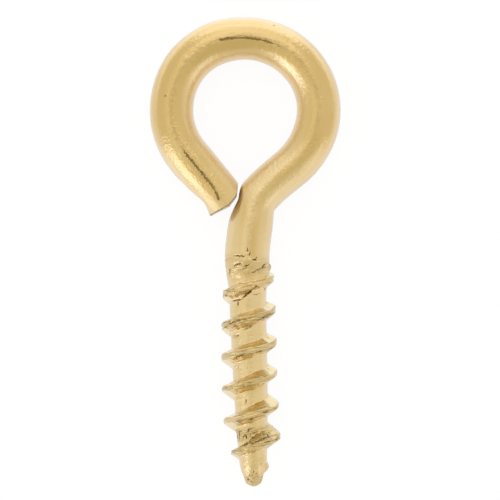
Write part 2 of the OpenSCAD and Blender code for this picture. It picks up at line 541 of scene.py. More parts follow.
class Thread:
    """The lower shank: a tapered core with a ragged right-hand ridge wound round it."""

    ROWS = 46  # across one pitch
    COLUMNS = 224  # around one turn
    NOSE = 0.35 * MM  # how far past the tip the winding closes up
    CUPPED = (1.62 * MM, 1.76 * MM)  # from the axis sideways, where a cup starts and is full

    def __init__(self, sizes, course):
        self.pitch = sizes.pitch
        self.crest_half = sizes.crest_width / 2
        self.tearing = sizes.roughness
        self.crest_gain = sizes.crest / CREST_LISTED
        self.course = course
        # rows lie closer on the ridge than in the valley
        x = np.linspace(-0.5, 0.5, 2001)
        density = 1 + 1.6 * ease(0.36 - np.abs(x), 0, 0.06)
        density += 0.5 * ease(0.16 - np.abs(x), 0, 0.04)
        share = np.concatenate([[0], np.cumsum(density[1:] + density[:-1])])
        self.across = np.interp(np.arange(self.ROWS) / self.ROWS, share / share[-1], x)

    def from_tip(self, turn, row):
        """Distance from the tip of each row at each turn, and its offset from the ridge."""
        whole, row = np.divmod(row, self.ROWS)
        offset = self.across[row] * self.pitch
        flat = LEAD + (turn + whole) * self.pitch + offset
        near = np.clip((flat + self.NOSE) ** 2 / (4 * self.NOSE), 0, None)
        s = np.where(flat < self.NOSE, np.where(flat < -self.NOSE, 0, near), flat)
        return s, offset, turn + whole

    def core(self, s):
        """Radius of the core, rounded to nothing at the tip."""
        stations, radii = np.array(CORE).transpose() * MM
        spread = np.linspace(-0.25, 0.25, 5) * MM
        radius = sum(np.interp(s + step, stations, radii) for step in spread) / 5
        nose = np.clip(s / (0.34 * MM), 0, 1)
        return radius * np.sqrt(1 - (1 - nose) ** 2)

    def crest(self, core, turn, n, torn):
        """Height of the ridge above the core, and half the width of its top."""
        stations, radii, widths = np.array(CREST).transpose()
        height = np.interp(n, stations, radii * MM) * self.crest_gain - core
        height = height + torn * 0.045 * MM * grain(3, turn, n * self.pitch, 19, 0.8 * MM)
        height = height + torn * 0.020 * MM * grain(4, turn, n * self.pitch, 61, 0.8 * MM)
        half = self.crest_half * np.interp(n, stations, widths)
        return height, half * (1 + 0.25 * torn * grain(5, turn, n, 13, 1))

    def flanks(self, height, half, offset, angle, n, torn, ragged):
        """How high the upper and the lower flank stand above the core at each point. At its
        +X side each turn ends in a smooth cup with a raised lip."""
        turn = angle / (2 * np.pi)
        left = 0.5 - 0.5 * np.sin(angle)
        smooth = 1 - (0.92 - 0.6 * ragged) * ease(np.sin(angle), 0.35, 0.75)
        blunt = ease(-np.sin(angle), 0.8, 0.98)
        front = ease(np.cos(angle), 0.0, 0.9)
        turns, angles, lips = np.array(LIPS).transpose()
        lip = ease(np.sin(angle), 0.86, 0.985) * np.interp(n, turns, lips) * MM
        wide = np.interp(n, turns, angles) - UPPER_FLANK
        wide = wide * np.clip((np.sin(angle) + 0.45) / 1.2, 0, 1)
        upper = np.radians(UPPER_FLANK + 11 * left + wide)
        lower = np.radians(LOWER_FLANK - 4 * left - 14 * front - 4 * ease(1.6 - n, 0, 0.5))
        ragged_up = 0.06 * MM * torn * smooth * grain(6, turn, n, 47, 1)
        ragged_low = 0.07 * MM * torn * grain(7, turn, n, 41, 1)
        up = height - (offset - half - lip - 0.14 * MM * blunt - ragged_up) / np.tan(upper)
        low = height - (-offset - half + 0.08 * MM * blunt - ragged_low) / np.tan(lower)
        return up, low

    def radius(self, s, angle, offset, n):
        """Radius at each point, how torn and squeezed the metal is, its cups, and its painted-paler
        lower flanks.
        """
        turn = angle / (2 * np.pi)
        core = self.core(s)
        # turns near the eye and the last one are the most torn
        torn = 0.62 + 0.6 * ease(n, 3.6, 4.6) + 0.5 * ease(1.4 - n, 0, 0.6)
        torn = torn * self.tearing
        ragged = ease(1.45 - n, 0, 0.3)
        height, half = self.crest(core, turn, n, torn)
        up, low = self.flanks(height, half, offset, angle, n, torn, ragged)
        shape = self.crest_top(offset, half, turn, n, torn) + height
        # the lower flanks, more so on their upward side, are marked for a paler colour as painted
        # reflection of the bright floor
        rolled = ease(low - up, 0.25 * MM, -0.1 * MM) * ease(height - low, 0, 0.1 * MM)
        rolled = rolled * (0.35 + 0.65 * ease(np.cos(angle), 0.2, 0.7))
        flank = ease(height - np.minimum(up, low), 0, 0.06 * MM)
        # cups on the +X side of the upper flank, and fainter ones on the -X side
        beside = (core + shape) * np.sin(angle)
        cup = ease(low - up, 0, 0.1 * MM) * ease(height - up, 0, 0.06 * MM)
        cup = cup * ease(beside, *self.CUPPED) * (1 - 0.6 * ragged)
        cup = np.maximum(cup, 0.85 * flank * ease(-beside, *self.CUPPED))
        # the ridge is what lies under its top and both flanks
        shape = soft_min(soft_min(shape, up, 0.05 * MM), low, 0.10 * MM)
        on_ridge = ease(n, -0.05, 0.1) * ease(RIDGE_TURNS - n, -0.05, 0.12)
        shape = soft_max(shape * on_ridge, 0 * shape, 0.04 * MM) - 0.01 * MM
        radius = core + shape * ease(s, 0.2 * MM, 0.9 * MM)
        proud = ease(shape, 0.02 * MM, 0.12 * MM)
        worn = ease(shape, 0.25 * MM, 0.7 * MM) * torn * (1 - 0.9 * cup)
        worn = np.maximum(worn, 0.55 * flank * ragged * proud)
        return radius, worn, rolled * proud, cup * proud, flank * (1 - cup) * proud

    def crest_top(self, offset, half, turn, n, torn):
        """Relief of the ridge's top: a closed seam between two lips, and rolled lines."""
        seam = half * (0.15 + 0.35 * grain(8, turn, n, 9, 1))
        depth = 0.08 * MM * ease(grain(9, turn, n, 15, 1), -0.5, 0.6) * (0.4 + 0.6 * torn)
        top = -depth * np.exp(-(((offset - seam) / (0.06 * MM)) ** 2))
        lines = 0.034 * MM * torn * (1 - 0.8 * np.clip(np.sin(2 * np.pi * turn), 0, 1) ** 2)
        top = top + lines * grain(10, turn, offset + 3 * n * MM, 23, 0.15 * MM)
        top = top + 0.5 * lines * grain(14, turn, offset + 5 * n * MM, 37, 0.07 * MM)
        return top - 0.05 * offset**2 / (half + 0.1 * MM)

    def scored(self, s, angle):
        """The band above the thread where the rolls first bit into the wire."""
        turn = angle / (2 * np.pi)
        slope = s - turn * 0.9 * MM
        band = ease(s, 17.3 * MM, 18.1 * MM) * ease(-s, -20.0 * MM, -19.2 * MM)
        lines = grain(11, turn, slope, 7, 0.30 * MM)
        fine = grain(12, turn, slope, 31, 0.13 * MM)
        return band, band * (0.040 * lines + 0.024 * fine) * MM

    def grid(self):
        """Distance from the tip, angle, offset from the ridge and turn of every point, and
        the triangles. The ring at the thread's top comes first, then the tip's one point."""
        columns, rows = self.COLUMNS, self.ROWS
        last = int(np.ceil((THREAD_TOP - LEAD) / self.pitch + 1)) * rows
        first = -int(np.ceil((LEAD + self.NOSE) / self.pitch + 1)) * rows
        turn, row = np.meshgrid(
            np.arange(columns) / columns, np.arange(first, last + rows), indexing="ij"
        )
        s, offset, n = self.from_tip(turn, row)
        angle = (0.25 + turn) * 2 * np.pi
        inside = (s > 0) & (s < THREAD_TOP - 0.03 * MM)
        above = ~inside & (s > 0)
        # the number of each place's point: what runs past the top or the tip shares theirs
        tag = np.full(s.shape, columns)
        tag[inside] = np.arange(inside.sum()) + columns + 1
        tag[above] = np.broadcast_to(np.arange(columns)[:, None], s.shape)[above]
        places = (
            np.concatenate([np.full(columns, THREAD_TOP), [0.0], s[inside]]),
            np.concatenate([around(columns), [0.0], angle[inside]]),
            np.concatenate([np.full(columns, self.pitch / 2), [0.0], offset[inside]]),
            np.concatenate([np.full(columns, PAST_RIDGE), [-1.0], n[inside]]),
        )
        # one turn on, the winding meets the row that lies a whole pitch further
        wrapped = np.vstack([tag[:, :-rows], tag[:1, rows:]])
        a, b = wrapped[:-1, :-1], wrapped[1:, :-1]
        c, d = wrapped[1:, 1:], wrapped[:-1, 1:]
        faces = two_triangles(a, b, c, d)
        u, v, w = faces.transpose()
        return places, faces[(u != v) & (v != w) & (u != w)]

    def build(self):
        """Points, triangles, and what the brass needs to know at each point."""
        (s, angle, offset, n), faces = self.grid()
        turn = angle / (2 * np.pi)
        radius, torn, rolled, cup, flank = self.radius(s, angle, offset, n)
        band, lines = self.scored(s, angle)
        tip = ease(-s, -2.0 * MM, -0.7 * MM)
        chewed = ease(s, 3.5 * MM, 4.0 * MM) * ease(-s, -5.4 * MM, -4.9 * MM)
        lumps = grain(13, turn, s, 17, 0.24 * MM)
        fine = grain(15, turn + s / (9 * MM), s, 53, 0.11 * MM)
        calm = ease(s, 0, 0.3 * MM)
        radius = radius + lines
        radius = radius + 0.035 * MM * tip * lumps * calm
        radius = radius + (0.022 * tip + 0.032 * chewed) * MM * fine * calm
        pits = np.zeros_like(radius)
        for mark in MARKS:
            pits += mark.press(angle, s, np.maximum(radius, 0.5 * MM))
        calm = ease(THREAD_TOP - s, 0, 0.25 * MM) * ease(s, 0, 0.2 * MM)
        radius = radius - pits * calm * min(1.0, self.tearing)
        wear = np.maximum(torn, band * 0.5) + tip * 0.55 + chewed * 0.6
        along = self.course.length - s
        values = {
            "trace": self.trace(s, angle, along),
            "wear": np.clip(wear, 0, 1),
            "pits_and_painted_shade": np.clip(pits / (0.10 * MM), 0, 1),
            "rolled": rolled,
            "cup": cup,
            "flank": flank,
        }
        return self.course.skin(along, angle, radius), faces, values

    def trace(self, s, angle, along):
        """Place on the metal in mm: across the winding, and along it. Above the scored band's
        lines, which end the winding, it runs straight up the wire."""
        phase = 2 * np.pi * (s / self.pitch - angle / 2 / np.pi)
        reach = self.pitch / 2 / np.pi
        wound = (s / self.pitch) * 2 * np.pi * WOUND_R
        wound = np.stack([np.cos(phase) * reach, np.sin(phase) * reach, wound], -1) / MM
        straight = straight_trace(self.course, angle, along)
        return np.where((s > WOUND_TOP)[:, None], straight, wound)


# ---------------------------------------------------------------- the plain wire


class Bar:
    """The plain wire, from the cut end to the top of the thread."""

    COLUMNS = Thread.COLUMNS // 4
    SLIT = 0.08 * MM  # between the cut end and the neck
    WEDGE = np.radians(12)  # slope of the cut face from its ridge
    RINGS = (0.97, 0.88, 0.7, 0.5, 0.3, 0.12)  # radii of the cut face's rings, as shares
    BITE_END = 4.6 * MM  # how far along the cutter's bite reaches
    # depth of the bite in mm, at mm from the cut end
    BITE = [
        (-1, 0.0), (0.0, 0.03), (0.4, 0.06), (0.8, 0.17), (1.2, 0.31), (1.6, 0.37), (2.0, 0.33),
        (2.5, 0.22), (3.0, 0.12), (3.6, 0.06), (4.6, 0.0), (90, 0.0),
    ]  # fmt: skip

    def __init__(self, course):
        self.course = course

    def stations(self):
        """Distances from the cut end of the rows, closer where the wire was worked."""
        course = self.course
        stop = course.length - THREAD_TOP
        near_end = np.arange(0, 4.2, 0.09) * MM
        neck = course.neck_start
        eye = np.arange(near_end[-1] + 0.2 * MM, neck, 0.24 * MM)
        worked = np.arange(eye[-1] + 0.15 * MM, stop - 0.12 * MM, 0.13 * MM)
        return np.concatenate([near_end, eye, worked])

    def radius(self, along, angle):
        """Drawn wire is never quite even: slow swells, and a little thicker in the shank."""
        course = self.course
        turn = angle / (2 * np.pi)
        shank = ease(along, course.neck_start + 4.5 * MM, course.neck_start + 6.5 * MM)
        swell = 0.014 * grain(21, turn, along, 5, 3.1 * MM)
        swell = swell + 0.006 * grain(22, turn, along, 11, 1.3 * MM)
        calm = ease(course.length - THREAD_TOP - along, 0, 0.6 * MM)
        core_top = CORE[-1][1] * MM
        plain = course.wire_r * (1 - shank) + core_top * shank
        return plain + swell * calm * MM + listed(SWELL, along) * calm

    def press(self, points, along):
        """Flattens the cut end and the neck where they bear on each other, and pinches the
        wire beside the cut."""
        meet = self.course.meet
        across = points[..., 0] * np.cos(meet) + points[..., 1] * np.sin(meet)
        down = points[..., 0] * np.sin(meet) - points[..., 1] * np.cos(meet)
        on_end = along < self.course.end_run + 0.5 * MM
        on_neck = (along > self.course.neck_start - 0.5 * MM) & (down < 12 * MM)
        # below the flat, the neck's wall curves back to its own round
        flat_stop = self.course.eye_r * np.sqrt(2) - 1.3 * MM
        flare = np.clip(down - flat_stop, 0, None)
        wall = self.SLIT / 2 - flare * np.tan(np.radians(23)) * (1 - 0.012 * flare / MM)
        held = np.where(on_end, soft_min(across, -self.SLIT / 2, 0.05 * MM), across)
        held = np.where(on_neck, soft_max(across, wall, 0.36 * MM), held)
        moved = held - across
        points[..., 0] += moved * np.cos(meet)
        points[..., 1] += moved * np.sin(meet)
        return np.abs(moved)

    def pinch(self, points, along):
        """The cutter's bite on the outer side of the cut end."""
        x, y, heading = self.course.at(along)
        side = -(points[..., 0] - x) * np.sin(heading) + (points[..., 1] - y) * np.cos(heading)
        stations, depths = np.array(self.BITE).transpose() * MM
        wall = self.course.wire_r + listed(SWAY, along) - np.interp(along, stations, depths)
        blend = 0.04 * MM * ease(-along, -self.BITE_END, -4.0 * MM)
        bitten = soft_min(side, wall, blend)
        push = np.where(along < self.BITE_END, side - bitten, 0)
        points[..., 0] += push * np.sin(heading)
        points[..., 1] -= push * np.cos(heading)
        return push

    def cap(self, angles, edge):
        """Rings of the cut face from its rim inwards, and how far along each point is."""
        rings, depths = [], []
        for share in self.RINGS:
            radius = edge * share
            depth = np.abs(radius * np.sin(angles)) * np.tan(self.WEDGE)
            rough = 0.02 * MM * grain(31, angles / 2 / np.pi, radius, 13, 0.5 * MM)
            depth = depth + rough * (share < 0.9)
            points = self.course.skin(depth, angles, radius)
            self.pinch(points, depth)
            self.press(points, depth)
            rings.append(points)
            depths.append(depth)
        return rings, depths

    def faces(self, rows, ring):
        """Triangles of the cut face and the wire, and of the seam with the thread's ring."""
        columns = self.COLUMNS
        grid = np.arange(rows * columns).reshape(rows, columns)
        right = np.roll(grid, -1, axis=1)
        hub = np.full(columns, rows * columns)
        # four columns of the thread meet each column of the wire
        top = ring.reshape(columns, 4)
        after = np.roll(ring, -4).reshape(columns, 4)[:, 0]
        low, high = grid[-1], right[-1]
        fan = [
            (hub, right[0], grid[0]),
            (low, top[:, 1], top[:, 0]),
            (low, top[:, 2], top[:, 1]),
            (low, high, top[:, 2]),
            (high, top[:, 3], top[:, 2]),
            (high, after, top[:, 3]),
        ]
        sides = two_triangles(grid[:-1], right[:-1], right[1:], grid[1:])
        return np.concatenate([sides, *(np.stack(triangle, -1) for triangle in fan)])

    def build(self, ring):
        """Points and triangles from the cut face to the ring at the thread's top, and what
        the brass needs to know at each point."""
        angles = around(self.COLUMNS)
        stations = self.stations()
        along, angle = np.meshgrid(stations, angles, indexing="ij")
        radius = self.radius(along, angle)
        slope = np.abs(radius * np.sin(angle)) * np.tan(self.WEDGE)
        along = along + slope * (1 - ease(along, 0, 2.0 * MM)) + 0.05 * MM
        body = self.course.skin(along, angle, radius)
        wear = self.pinch(body, along) / (0.55 * MM)
        pressed = np.clip(self.press(body, along) / (0.25 * MM), 0, 1)
        wear = wear + pressed
        wear = wear + ease(1.4 * MM - along, 0, 1.0 * MM) * 0.45
        rings, depths = self.cap(angles, radius[0])
        centre = self.course.skin(np.zeros(1), np.zeros(1), np.zeros(1))
        points = np.concatenate([*rings[::-1], body.reshape(-1, 3), centre])
        along = np.concatenate([*depths[::-1], along.reshape(-1), [0.0]])
        angle = np.concatenate([*[angles] * len(rings), angle.reshape(-1), [0.0]])
        rim = self.COLUMNS * len(rings)
        wear = np.concatenate([np.ones(rim), np.clip(wear, 0, 1).reshape(-1), [1.0]])
        # painted shade: the pressed dent where the neck and the cut end meet is darkened, and the
        # cut face's rim gets a painted dark outline
        pits_and_painted_shade = np.concatenate([np.zeros(rim), pressed.reshape(-1) * 0.35, [0.0]])
        pits_and_painted_shade[rim - self.COLUMNS : rim + self.COLUMNS] = 0.5
        values = {
            "trace": straight_trace(self.course, angle, along),
            "wear": wear,
            "pits_and_painted_shade": pits_and_painted_shade,
            # the same paler colour on the cut, bitten and pressed places; in the pressed dent it is
            # painted light that lightens its shade
            "rolled": wear * 0.6,
            "cup": np.zeros(len(points)),
            "flank": np.zeros(len(points)),
        }
        return points, self.faces(len(rings) + len(stations), ring), values


SHARP = np.radians(62)  # an edge that bends more than this stays sharp


def lay_down(points, course, sizes):
    """Points moved from the eye's own plane to where the screw eye rests on the floor."""
    # the eye's centre is a wire's half and a little above the floor
    lift = course.wire_r + course.eye_r * np.sin(sizes.rest_tilt)
    middle = course.eye_r + course.wire_r - sizes.length / 2
    lay = Matrix.Translation((0, -middle, lift)) @ Matrix.Rotation(-sizes.rest_tilt, 4, "X")
    return points @ np.array(lay.to_3x3()).transpose() + np.array(lay.translation)


def shade_smooth(mesh):
    """Turns the faces outwards and shades them smooth, apart from the sharp edges."""
    shell = bmesh.new()
    shell.from_mesh(mesh)
    bmesh.ops.recalc_face_normals(shell, faces=shell.faces)
    for edge in shell.edges:
        edge.smooth = edge.calc_face_angle(0.0) < SHARP
    shell.to_mesh(mesh)
    shell.free()
    mesh.polygons.foreach_set("use_smooth", np.ones(len(mesh.polygons), bool))
    mesh.update()


def screw_eye_mesh(sizes, thread_sizes):
    """One closed mesh of the whole wire, lying as it rests."""
    course = Course(sizes)
    thread, bar = Thread(thread_sizes, course), Bar(course)
    points, faces, values = thread.build()
    # the thread's ring goes in as numbers below 0, and comes back as that ring's points
    bar_points, bar_faces, bar_values = bar.build(-1 - np.arange(thread.COLUMNS))
    bar_faces = np.where(bar_faces >= 0, bar_faces + len(points), -1 - bar_faces)
    points = lay_down(np.concatenate([points, bar_points]), course, sizes)
    faces = np.concatenate([faces, bar_faces])
    mesh = bpy.data.meshes.new("screw_eye_wire")
    mesh.from_pydata(points.tolist(), [], faces.tolist())
    for name in values:
        both = np.concatenate([values[name], bar_values[name]])
        kind, field = ("FLOAT_VECTOR", "vector") if both.ndim > 1 else ("FLOAT", "value")
        layer = mesh.attributes.new(name, kind, "POINT")
        layer.data.foreach_set(field, both.ravel())
    shade_smooth(mesh)
    return mesh


# ---------------------------------------------------------------- shader tools


class Signal:
    """A shader value that can be used in Python sums."""

    def __init__(self, board, socket):
        self.board, self.socket = board, socket

    def sum(self, operation, *others, swap=False):
        """A Math node of that operation on this value and the others."""
        values = [self, *others]
        if swap:
            values.reverse()
        return self.board.node("ShaderNodeMath", {"operation": operation}, dict(enumerate(values)))

    def __add__(self, other):
        return self.sum("ADD", other)

    __radd__ = __add__

    def __sub__(self, other):
        return self.sum("SUBTRACT", other)

    def __rsub__(self, other):
        return self.sum("SUBTRACT", other, swap=True)

    def __mul__(self, other):
        return self.sum("MULTIPLY", other)

    __rmul__ = __mul__

    def __truediv__(self, other):
        return self.sum("DIVIDE", other)

    def __pow__(self, other):
        return self.sum("POWER", other)

    def ramp(self, low, high, start=0.0, stop=1.0):
        """A smooth run from start to stop as the value goes from low to high."""
        sockets = {0: self, 1: low, 2: high, 3: start, 4: stop}
        return self.board.node(
            "ShaderNodeMapRange", {"interpolation_type": "SMOOTHSTEP"}, sockets
        )

    def follow(self, table):
        """Smooth runs through listed places and values."""
        value = table[0][1]
        for (a, u), (b, v) in zip(table, table[1:]):
            value = self.ramp(a, b, 0.0, v - u) + value
        return value


class Board:
    """A node tree being written."""

    def __init__(self, tree):
        self.tree = tree
        tree.nodes.clear()

    def node(self, kind, settings=None, sockets=None, out=0):
        """A node of that type, its settings set first and then its sockets, as a Signal
        from its output."""
        node = self.tree.nodes.new(kind)
        for name, value in (settings or {}).items():
            setattr(node, name, value)
        for name, value in (sockets or {}).items():
            if isinstance(value, Signal):
                self.tree.links.new(value.socket, node.inputs[name])
            else:
                node.inputs[name].default_value = value
        return Signal(self, node.outputs[out] if node.outputs else None)

    def outputs(self, kind, settings=None, sockets=None):
        """A node as above, and every output of it by name."""
        node = self.node(kind, settings, sockets).socket.node
        return {socket.name: Signal(self, socket) for socket in node.outputs}

    def mix(self, factor, a, b):
        """Two colours mixed."""
        a, b = (c if isinstance(c, Signal) else (*c, 1.0) for c in (a, b))
        return self.node("ShaderNodeMix", {"data_type": "RGBA"}, {0: factor, 6: a, 7: b}, 2)

    def stretch(self, vector, scale):
        """A vector scaled along each axis."""
        return self.node(
            "ShaderNodeVectorMath", {"operation": "MULTIPLY"}, {0: vector, 1: scale}
        )

    def noise(self, vector, scale, detail=2.0, roughness=0.5):
        """Smooth noise, about 0 to 1."""
        return self.node(
            "ShaderNodeTexNoise",
            None,
            {"Vector": vector, "Scale": scale, "Detail": detail, "Roughness": roughness},
        )

    def output(self, kind, socket, value):
        """Leads a value to the tree's output."""
        self.node(kind, None, {socket: value})


# the long marks: places in mm along the wire and round it, from the top outwards
END_LINE = [(0.8, 0.36), (1.5, 0.18), (2.3, 0.07), (6.4, 0.02)]
# along the eye's crown this line is a painted dark reflection of the tent's opening overhead
CROWN_REFLECTION = [(17.2, -0.02), (19.6, -0.13), (21.6, -0.14), (23.5, -0.12)]
NECK_BAND = [(31.0, 0.45), (35.0, 0.0), (37.5, 0.17), (38.9, 0.42), (40.3, 0.50), (44.2, 0.50)]
# two dark spots on the eye, in mm in the part's own frame
SPOTS = [(-6.67, 13.33, 3.71), (2.72, 19.05, 3.04)]


class LongMarks:
    """Lines and a band that run along the wire: a dark line on the cut end, a painted dark
    reflection along the eye's crown, and a darker band down the neck.
    """

    def __init__(self, board, trace):
        split = board.outputs("ShaderNodeSeparateXYZ", None, {0: trace})
        self.top = split["X"].ramp(0.2, 0.9)
        self.across, self.along = split["Y"], split["Z"]
        self.jag = board.noise(board.stretch(trace, (1.0, 1.0, 0.9)), 8.0, 2, 0.7) - 0.5
        self.grain = board.noise(trace, 5.0, 1, 0.5) - 0.5

    def line(self, table, half, soft, jag):
        """1 on the line through those places, 0 beside it and past its ends. half is half
        its width, soft its soft edge and jag how far it strays, all in mm."""
        near = (self.across - self.along.follow(table) + self.jag * jag).sum("ABSOLUTE")
        near = near.ramp(half + soft, half - soft) * self.top
        start, stop = table[0][0], table[-1][0]
        near = near * self.along.ramp(start - 0.1, start + 0.3)
        return near * self.along.ramp(stop + 0.1, stop - 0.8)

    def end_line_and_crown_reflection(self):
        """A dark line on the cut end, and along the eye's crown a painted dark reflection of the
        tent's opening overhead.
        """
        end = self.line(END_LINE, 0.09, 0.05, 0.55) * (1.25 + self.grain * 1.8)
        crown = self.line(CROWN_REFLECTION, 0.10, 0.05, 0.50) * (1.2 + self.grain * 1.6)
        return end + crown * self.along.ramp(22.1, 21.6, 0.4, 1.0)

    def neck_band(self):
        """A darker band down the neck."""
        return self.line(NECK_BAND, 0.40, 0.28, 0.30) * (0.75 + self.jag)


class BrassSurface:
    """What changes over the brass: its wear and its marks, and the noise that they share.
    trace and place are in millimetres, across and along the wire, and in space."""

    def __init__(self, board, looks):
        self.board, self.looks = board, looks
        self.trace = self.carried("trace", "Vector")
        self.wear, self.rolled = self.carried("wear"), self.carried("rolled")
        self.cup, self.flank = self.carried("cup"), self.carried("flank")
        place = board.node("ShaderNodeTexCoord", out="Object")
        self.place = board.stretch(place, (1 / MM, 1 / MM, 1 / MM))
        self.lines = self.drawn(0.12, 5.5, 3, 0.6)
        self.wide_lines = self.drawn(0.10, 1.3, 2, 0.5)
        self.clouds = board.noise(self.place, 0.30, 3, 0.55)
        self.torn = board.noise(board.stretch(self.place, (1.0, 1.6, 1.0)), 4.5, 3, 0.65)
        folds = (self.drawn(0.22, 2.6, 2, 0.55) - 0.5).sum("ABSOLUTE")
        self.cracks = folds.ramp(0.035, 0.0) * self.wear.ramp(0.30, 0.75)
        marks = LongMarks(board, self.trace)
        self.along, self.end_line_and_crown_reflection, self.neck_band = marks.along, marks.end_line_and_crown_reflection(), marks.neck_band()
        # the shank is 1 from the neck's end down, the rest of the neck only on its +X side
        split = board.outputs("ShaderNodeSeparateXYZ", None, {0: self.place})
        neck = split["Y"].ramp(10.0, 7.0) * split["X"].ramp(-0.6, 0.2)
        self.shank = split["Y"].ramp(5.0, 1.5).sum("MAXIMUM", neck)
        # the eye's inner and outer sides, painted paler as painted light: the inside against the
        # dark reflection of the eye's far side, the outside like the floor's bright reflection at
        # its edge
        self.inner = marks.across.ramp(-0.5, -1.5) * (1 - self.shank)
        self.outer = marks.across.ramp(0.8, 1.6) * (1 - self.shank)
        self.stain_and_painted_shade = self.stain_and_painted_shade_amount()

    def carried(self, name, out="Fac"):
        """A value that the mesh carries at its points."""
        return self.board.node("ShaderNodeAttribute", {"attribute_name": name}, out=out)

    def drawn(self, shrink, scale, detail, roughness):
        """Noise drawn out along the wire."""
        place = self.board.stretch(self.trace, (1.0, 1.0, shrink))
        return self.board.noise(place, scale, detail, roughness)

    def stain_and_painted_shade_amount(self):
        """How far the colour turns dark: darkening in pits, cracks, torn metal and streaks, two
        dark spots, the dark line on the cut end, painted shade in the pressed dent and on the cut
        face's rim, and a painted dark reflection along the eye's crown.
        """
        # pits, and the painted shade in the pressed dent and on the cut face's rim
        dark = self.carried("pits_and_painted_shade")
        for spot in SPOTS:
            away = self.board.node(
                "ShaderNodeVectorMath",
                {"operation": "DISTANCE"},
                {0: self.place, 1: spot},
                "Value",
            )
            dark = dark + away.ramp(0.14, 0.05) * 0.7
        # painted reflection: the dark line along the eye's crown is added here
        dark = dark + self.cracks * 0.5 + self.end_line_and_crown_reflection
        dark = dark + (1 - self.torn.ramp(0.30, 0.44)) * self.wear * 0.18
        streaks = self.drawn(0.12, 6.5, 2, 0.6).ramp(0.50, 0.66)
        dark = dark + streaks * self.wear.ramp(0.25, 0.65) * 0.35
        return (dark * (1 - self.cup)).ramp(0.05, 0.95, 0.0, 0.92)

    def colour(self):
        """Paler on the shank and in random patches, darker down the neck band, and dark in its
        marks; painted light makes the eye's inner and outer sides and the lower flanks paler, the
        cups bright, and some marks dark as painted shade and painted reflection.
        """
        mix, looks = self.board.mix, self.looks
        pale_tone_and_painted_light = 0.10 + self.shank * 0.75 + self.inner * 0.70 + self.outer * 0.55
        pale_tone_and_painted_light = pale_tone_and_painted_light + (self.wide_lines - 0.5) * 1.1 + (self.clouds - 0.5) * 0.5
        pale_tone_and_painted_light = pale_tone_and_painted_light - self.neck_band * 0.8 - self.wear * self.shank * 0.75
        squeezed = (self.wear.ramp(0.2, 0.8) * self.shank * 0.4).sum("MAXIMUM", self.flank * 0.8)
        colour = mix(pale_tone_and_painted_light.ramp(0.0, 1.0), tuple(looks.brass), tuple(looks.pale))
        colour = mix(squeezed, colour, tuple(looks.worked))
        # painted reflection: the lower flanks and worked places turn paler
        colour = mix(self.rolled * 0.9, colour, tuple(looks.rolled))
        # painted highlight: the cups' bright colour stands in for their reflection of the lit floor
        colour = mix(self.cup * 0.9, colour, tuple(looks.lips))
        return mix(self.stain_and_painted_shade, colour, tuple(looks.tarnish_and_painted_shade))

    def roughness(self):
        """Bright on the drawn wire, duller where the metal was rolled, bent or cut."""
        gloss = self.looks.gloss + self.lines * 0.05 + self.clouds * 0.03 + self.wear * 0.16
        gloss = gloss + self.stain_and_painted_shade * 0.25 + self.inner * 0.14
        gloss = gloss + (1 - self.wear).sum("MINIMUM", 1 - self.flank) * self.shank * 0.10
        return gloss + self.along.ramp(4.2, 1.4) * 0.14

    def relief(self):
        """Height of the fine texture in millimetres."""
        noise, place = self.board.noise, self.place
        return (
            self.lines * (0.018 + self.wear * 0.02)
            + self.wide_lines * 0.020
            + noise(place, 5.0, 2, 0.6) * (0.024 + self.clouds.ramp(0.45, 0.65) * 0.016)
            + noise(place, 2.9, 1, 0.5) * 0.026
            + noise(place, 3.0, 2, 0.5).ramp(0.25, 0.40) * 0.0030
            + self.torn * self.wear * 0.024
            - self.cracks * 0.03
            - self.end_line_and_crown_reflection * 0.02
        ) * (1 - self.cup * 0.8)


def new_material(name):
    """An empty material, and the board to write its nodes on."""
    material = bpy.data.materials.new(name)
    material.use_nodes = True
    return material, Board(material.node_tree)


def brass_material(looks):
    """Bright drawn brass: fine draw lines along the wire, soft pits, sides, flanks and cups made
    paler as painted light, and dull torn metal where the thread was rolled and the end was cut."""
    material, board = new_material("drawn_brass")
    surface = BrassSurface(board, looks)
    height = {"Strength": 1.0, "Distance": 1.0, "Height": surface.relief() * MM}
    sockets = {
        "Base Color": surface.colour(),
        "Metallic": 1.0,
        "Roughness": surface.roughness(),
        "Coat Weight": 0.7 * (1 - surface.stain_and_painted_shade),
        "Coat Roughness": 0.12,
        "Normal": board.node("ShaderNodeBump", None, height),
    }
    shader = board.node("ShaderNodeBsdfPrincipled", None, sockets)
    board.output("ShaderNodeOutputMaterial", "Surface", shader)
    return material


# ---------------------------------------------------------------- the studio


FAR_PAPER = (18.5 * MM, 23.5 * MM)  # along Y, where the mirrored paper turns brighter
LAMP_DISTANCE = 0.40
LAMP_COLOUR = (0.89, 1.0, 1.55)
# azimuth from +X and elevation in degrees, width and height in metres, and radiance
SOFTBOXES = {
    "top_softbox": (86, 13, (0.50, 0.23), 0.60),
    "left_softbox": (215, 25, (0.22, 0.30), 0.92),
    "right_softbox": (320, 22, (0.24, 0.24), 0.28),
}


